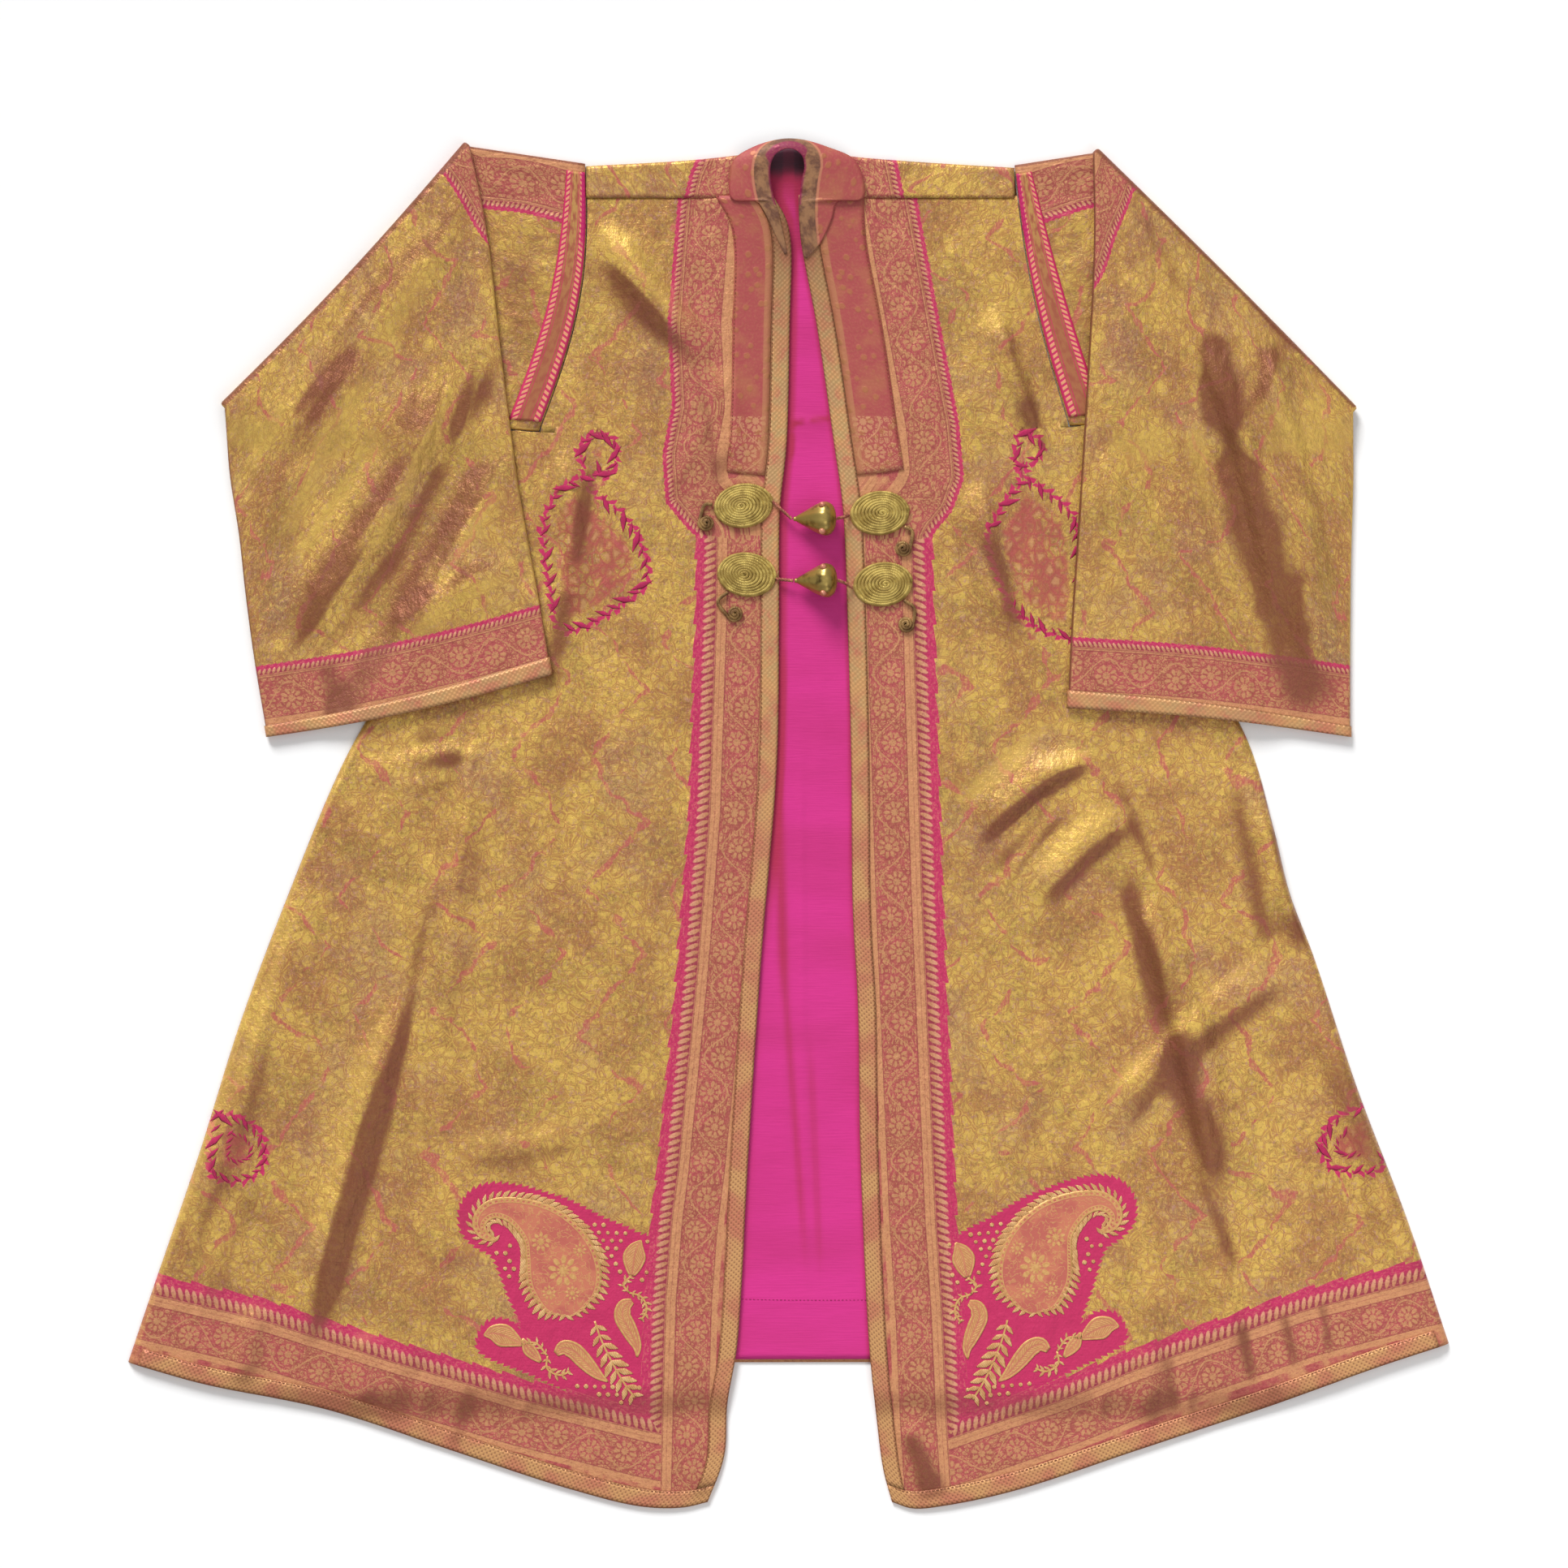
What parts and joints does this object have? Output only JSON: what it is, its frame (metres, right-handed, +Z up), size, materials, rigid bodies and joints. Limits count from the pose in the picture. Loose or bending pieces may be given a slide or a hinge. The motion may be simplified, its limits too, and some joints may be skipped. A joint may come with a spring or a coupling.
{
  "type": "choga",
  "caption": "long open coat of gold silk brocade, woven borders, paisley corners and pink silk lining, laid flat with sleeves folded forward, closed by frog fastenings with brass buttons",
  "frame": {"origin": "centre of the bounding box on the surface the coat lies on", "axes": "+Z is up, away from the surface; +Y runs from the hem to the neck along the coat; +X runs across it, to the right as seen from above"},
  "size_m": [1.2542, 1.2993, 0.0363],
  "materials": {
    "gold_brocade": "gold thread woven over deep pink silk, soft metallic sheen",
    "woven_border": "gold floral scroll on a rose ground",
    "neckband_brocade": "rust-red brocade with fine gold sprigs",
    "pink_silk": "plain woven silk, soft sheen",
    "gilt_cord": "coiled gilt metal-wrapped cord",
    "brass_button": "worn gilt, soft shine"
  },
  "bodies": {
    "root": {"armhole_band_left": "woven_border", "armhole_band_right": "woven_border", "back": "gold_brocade", "back_lining": "pink_silk", "button_lower": "brass_button", "button_upper": "brass_button", "collar": "neckband_brocade", "cord_lower_left": "gilt_cord", "cord_lower_right": "gilt_cord", "cord_upper_left": "gilt_cord", "cord_upper_right": "gilt_cord", "cuff_binding_left": "woven_border", "cuff_binding_right": "woven_border", "curl_lower_left": "gilt_cord", "curl_lower_right": "gilt_cord", "curl_upper_left": "gilt_cord", "curl_upper_right": "gilt_cord", "front_binding_left": "woven_border", "front_binding_right": "woven_border", "front_left": "gold_brocade", "front_right": "gold_brocade", "hem_binding_left": "woven_border", "hem_binding_right": "woven_border", "neckband_left": "neckband_brocade", "neckband_right": "neckband_brocade", "pad_lower_left": "gilt_cord", "pad_lower_right": "gilt_cord", "pad_upper_left": "gilt_cord", "pad_upper_right": "gilt_cord", "sleeve_left": "gold_brocade", "sleeve_right": "gold_brocade"}
  },
  "joints": []
}
